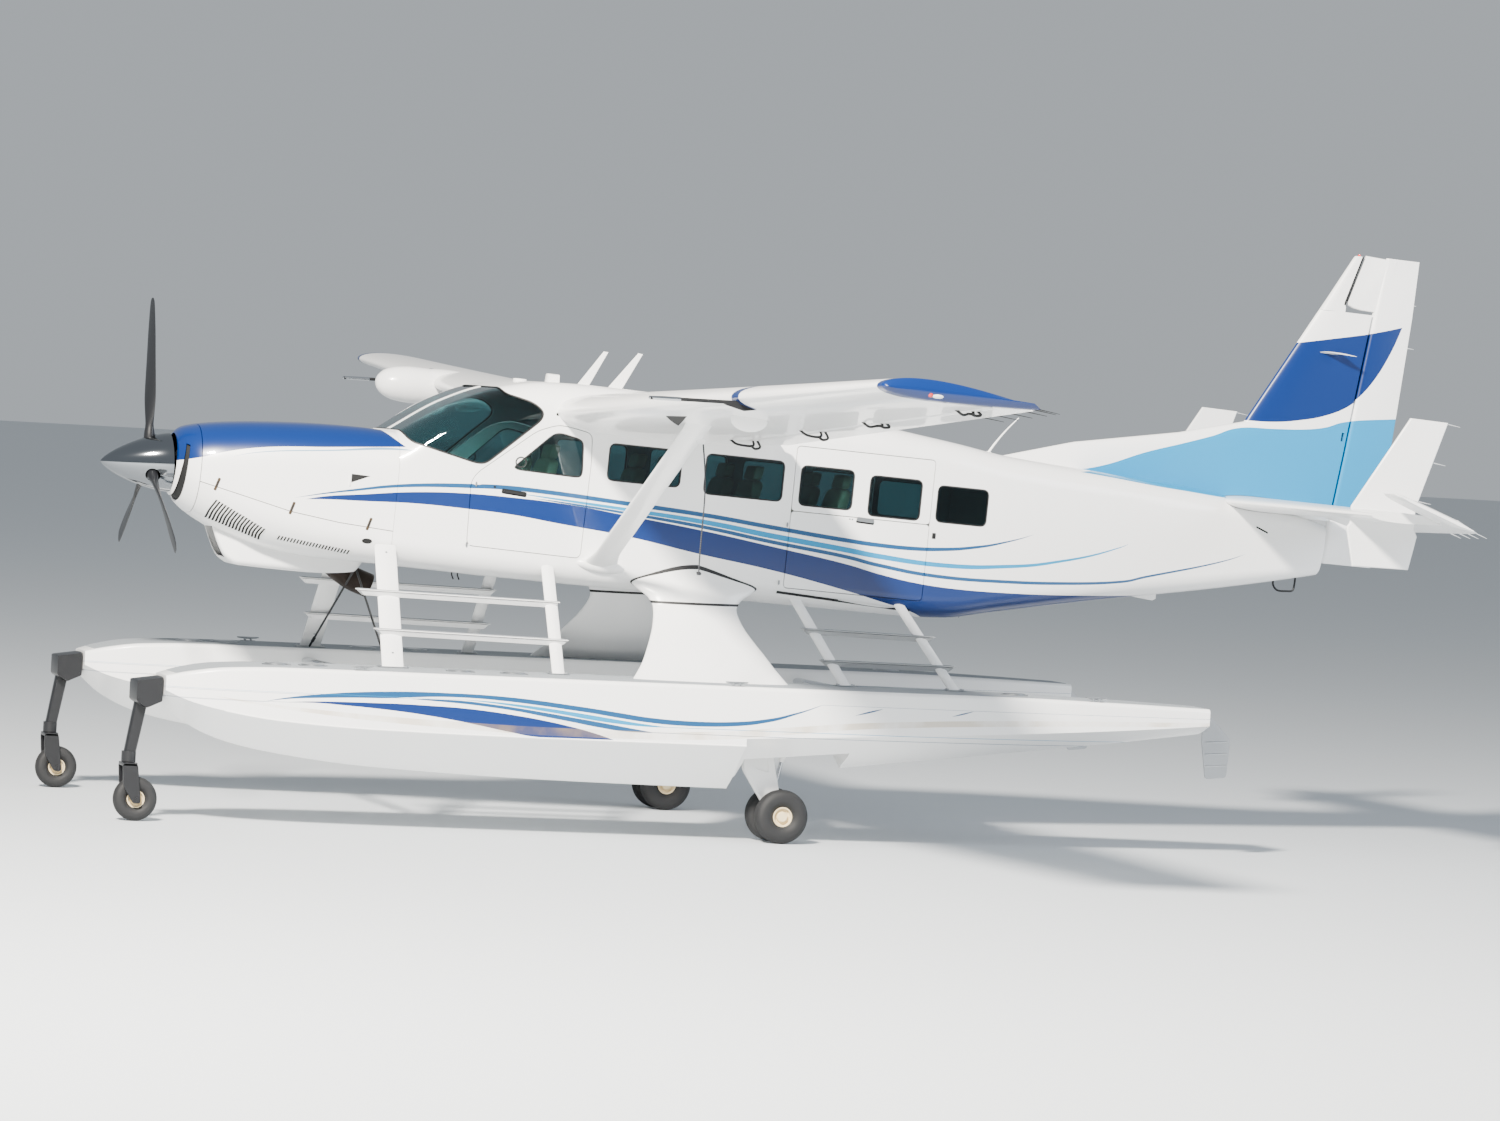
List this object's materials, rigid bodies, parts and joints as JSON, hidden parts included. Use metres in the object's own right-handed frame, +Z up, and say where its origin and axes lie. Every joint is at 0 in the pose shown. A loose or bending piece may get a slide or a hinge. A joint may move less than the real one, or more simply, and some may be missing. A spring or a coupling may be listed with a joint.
{
  "type": "amphibious floatplane",
  "caption": "High-wing single-turboprop utility aeroplane on twin amphibious floats, parked on its wheels, with opening doors, cowl, control surfaces and propeller.",
  "frame": {"origin": "middle of the length and span, on the ground under the wheels", "axes": "-X to the nose, +Y to starboard along the span, +Z up"},
  "size_m": [11.6738, 15.85, 5.1809],
  "materials": {
    "white_paint": "gloss white paint with blue stripes",
    "blue_paint": "gloss royal blue paint",
    "black_paint": "satin black paint",
    "cream_paint": "satin cream paint",
    "polished_metal": "polished",
    "bare_metal": "satin bare sheet",
    "stainless": "heat-stained steel",
    "tyre_rubber": "worn rubber",
    "glazing": "clear acrylic",
    "seat_leather": "grey leather",
    "cabin_trim": "dark grey trim",
    "black_rope": "braided cord"
  },
  "bodies": {
    "airframe": {"cabin_shell": "white_paint", "windscreen": "glazing", "cabin_floor": "cabin_trim", "instrument_panel": "cabin_trim", "seats": "seat_leather", "engine": "stainless", "nose_bowl": "blue_paint", "cowling_lower": "white_paint", "wing_left": "white_paint", "wing_right": "white_paint", "wing_strut_left": "white_paint", "wing_strut_right": "white_paint", "fin": "white_paint", "stabilizer": "white_paint", "tail_cone": "white_paint", "float_hull_left": "white_paint", "float_hull_right": "white_paint", "nose_leg_left": "black_paint", "nose_leg_right": "black_paint", "main_leg_left": "white_paint", "main_leg_right": "white_paint", "pylon_left": "white_paint", "pylon_right": "white_paint", "front_ladder_left": "white_paint", "front_ladder_right": "white_paint", "aft_ladder_left": "white_paint", "front_spreader": "polished_metal", "aft_spreader": "polished_metal", "tie_rope": "black_rope"},
    "propeller_body": {"propeller": "black_paint", "spinner": "polished_metal"},
    "cowl_left_body": {"cowl_door_left": "blue_paint"},
    "cowl_right_body": {"cowl_door_right": "blue_paint"},
    "crew_left_body": {"crew_door_left": "white_paint"},
    "crew_right_body": {"crew_door_right": "white_paint"},
    "cargo_upper_body": {"cargo_door_upper": "white_paint"},
    "cargo_lower_body": {"cargo_door_lower": "white_paint"},
    "airstair_upper_body": {"airstair_door_upper": "white_paint"},
    "airstair_lower_body": {"airstair_door_lower": "white_paint"},
    "flap_left_body": {"flap_left": "white_paint"},
    "flap_right_body": {"flap_right": "white_paint"},
    "aileron_left_body": {"aileron_left": "white_paint"},
    "aileron_right_body": {"aileron_right": "white_paint"},
    "elevator_body": {"elevators": "white_paint"},
    "rudder_body": {"rudder": "white_paint"},
    "water_rudder_left_body": {"water_rudder_left": "bare_metal"},
    "water_rudder_right_body": {"water_rudder_right": "bare_metal"},
    "castor_left_body": {"nose_fork_left": "black_paint"},
    "castor_right_body": {"nose_fork_right": "black_paint"},
    "nose_wheel_left_body": {"nose_wheel_left": "cream_paint", "nose_tyre_left": "tyre_rubber"},
    "nose_wheel_right_body": {"nose_wheel_right": "cream_paint", "nose_tyre_right": "tyre_rubber"},
    "main_wheels_left_body": {"main_wheels_left": "cream_paint", "main_tyre_left_inner": "tyre_rubber", "main_tyre_left_outer": "tyre_rubber"},
    "main_wheels_right_body": {"main_wheels_right": "cream_paint", "main_tyre_right_inner": "tyre_rubber", "main_tyre_right_outer": "tyre_rubber"}
  },
  "joints": [
    {"name": "propeller_spin", "type": "hinge", "parent": "airframe", "child": "propeller_body", "pos_m": [-5.35105, 0, 2.82193], "axis": [0.9996, 0, 0.0297], "continuous": true},
    {"name": "cowl_left_hinge", "type": "hinge", "parent": "airframe", "child": "cowl_left_body", "pos_m": [-3.99075, -0.042, 3.21971], "axis": [-1, 0, 0.0039], "range_deg": [0, 75]},
    {"name": "cowl_right_hinge", "type": "hinge", "parent": "airframe", "child": "cowl_right_body", "pos_m": [-3.99075, 0.042, 3.21971], "axis": [1, 0, -0.0039], "range_deg": [0, 75]},
    {"name": "crew_left_hinge", "type": "hinge", "parent": "airframe", "child": "crew_left_body", "pos_m": [-2.80429, -0.799, 2.56567], "axis": [-0.0489, 0, -0.9988], "range_deg": [0, 80]},
    {"name": "crew_right_hinge", "type": "hinge", "parent": "airframe", "child": "crew_right_body", "pos_m": [-2.80429, 0.799, 2.56567], "axis": [0.0489, 0, 0.9988], "range_deg": [0, 80]},
    {"name": "cargo_upper_hinge", "type": "hinge", "parent": "airframe", "child": "cargo_upper_body", "pos_m": [0.54937, -0.844, 3.21362], "axis": [-0.9988, 0, 0.0489], "range_deg": [0, 90]},
    {"name": "cargo_lower_hinge", "type": "hinge", "parent": "airframe", "child": "cargo_lower_body", "pos_m": [-0.06252, -0.844, 2.39153], "axis": [-0.0489, 0, -0.9988], "range_deg": [0, 100]},
    {"name": "airstair_upper_hinge", "type": "hinge", "parent": "airframe", "child": "airstair_upper_body", "pos_m": [0.87398, 0.844, 3.19774], "axis": [0.9988, 0, -0.0489], "range_deg": [0, 90]},
    {"name": "airstair_lower_hinge", "type": "hinge", "parent": "airframe", "child": "airstair_lower_body", "pos_m": [0.81673, 0.844, 2.02714], "axis": [-0.9988, 0, 0.0489], "range_deg": [0, 120]},
    {"name": "flap_left_hinge", "type": "hinge", "parent": "airframe", "child": "flap_left_body", "pos_m": [-0.67257, -2.865, 3.43189], "axis": [0.0242, 0.9982, -0.0548], "range_deg": [0, 30]},
    {"name": "flap_right_hinge", "type": "hinge", "parent": "airframe", "child": "flap_right_body", "pos_m": [-0.67257, 2.865, 3.43189], "axis": [-0.0242, 0.9982, 0.0548], "range_deg": [0, 30]},
    {"name": "aileron_left_hinge", "type": "hinge", "parent": "airframe", "child": "aileron_left_body", "pos_m": [-0.75479, -6.265, 3.61917], "axis": [0.0241, 0.9982, -0.0552], "range_deg": [-20, 20]},
    {"name": "aileron_right_hinge", "type": "hinge", "parent": "airframe", "child": "aileron_right_body", "pos_m": [-0.75479, 6.265, 3.61917], "axis": [-0.0241, 0.9982, 0.0552], "range_deg": [-20, 20]},
    {"name": "elevator_hinge", "type": "hinge", "parent": "airframe", "child": "elevator_body", "pos_m": [4.95563, 0, 2.92703], "axis": [0, 1, 0], "range_deg": [-43, 2]},
    {"name": "rudder_hinge", "type": "hinge", "parent": "airframe", "child": "rudder_body", "pos_m": [5.27864, 0, 3.554], "axis": [0.1652, 0, 0.9863], "range_deg": [-25, 25]},
    {"name": "water_rudder_left_hinge", "type": "hinge", "parent": "airframe", "child": "water_rudder_left_body", "pos_m": [3.42213, -1.655, 0.99], "axis": [0, 0, 1], "range_deg": [-30, 30]},
    {"name": "water_rudder_right_hinge", "type": "hinge", "parent": "airframe", "child": "water_rudder_right_body", "pos_m": [3.42213, 1.655, 0.99], "axis": [0, 0, 1], "range_deg": [-30, 30]},
    {"name": "castor_left_swivel", "type": "hinge", "parent": "airframe", "child": "castor_left_body", "pos_m": [-5.72887, -1.655, 0.47], "axis": [0, 0, 1], "range_deg": [-60, 60]},
    {"name": "castor_right_swivel", "type": "hinge", "parent": "airframe", "child": "castor_right_body", "pos_m": [-5.72887, 1.655, 0.47], "axis": [0, 0, 1], "range_deg": [-60, 60]},
    {"name": "nose_wheel_left_spin", "type": "hinge", "parent": "castor_left_body", "child": "nose_wheel_left_body", "pos_m": [-5.66087, -1.655, 0.176], "axis": [0, 1, 0], "continuous": true},
    {"name": "nose_wheel_right_spin", "type": "hinge", "parent": "castor_right_body", "child": "nose_wheel_right_body", "pos_m": [-5.66087, 1.655, 0.176], "axis": [0, 1, 0], "continuous": true},
    {"name": "main_wheels_left_spin", "type": "hinge", "parent": "airframe", "child": "main_wheels_left_body", "pos_m": [-0.31287, -1.655, 0.222], "axis": [0, 1, 0], "continuous": true},
    {"name": "main_wheels_right_spin", "type": "hinge", "parent": "airframe", "child": "main_wheels_right_body", "pos_m": [-0.31287, 1.655, 0.222], "axis": [0, 1, 0], "continuous": true}
  ],
  "couplings": [
    {"joint": "flap_right_hinge", "follows": "flap_left_hinge", "ratio": 1},
    {"joint": "aileron_right_hinge", "follows": "aileron_left_hinge", "ratio": -1},
    {"joint": "water_rudder_left_hinge", "follows": "rudder_hinge", "ratio": 1},
    {"joint": "water_rudder_right_hinge", "follows": "rudder_hinge", "ratio": 1}
  ]
}
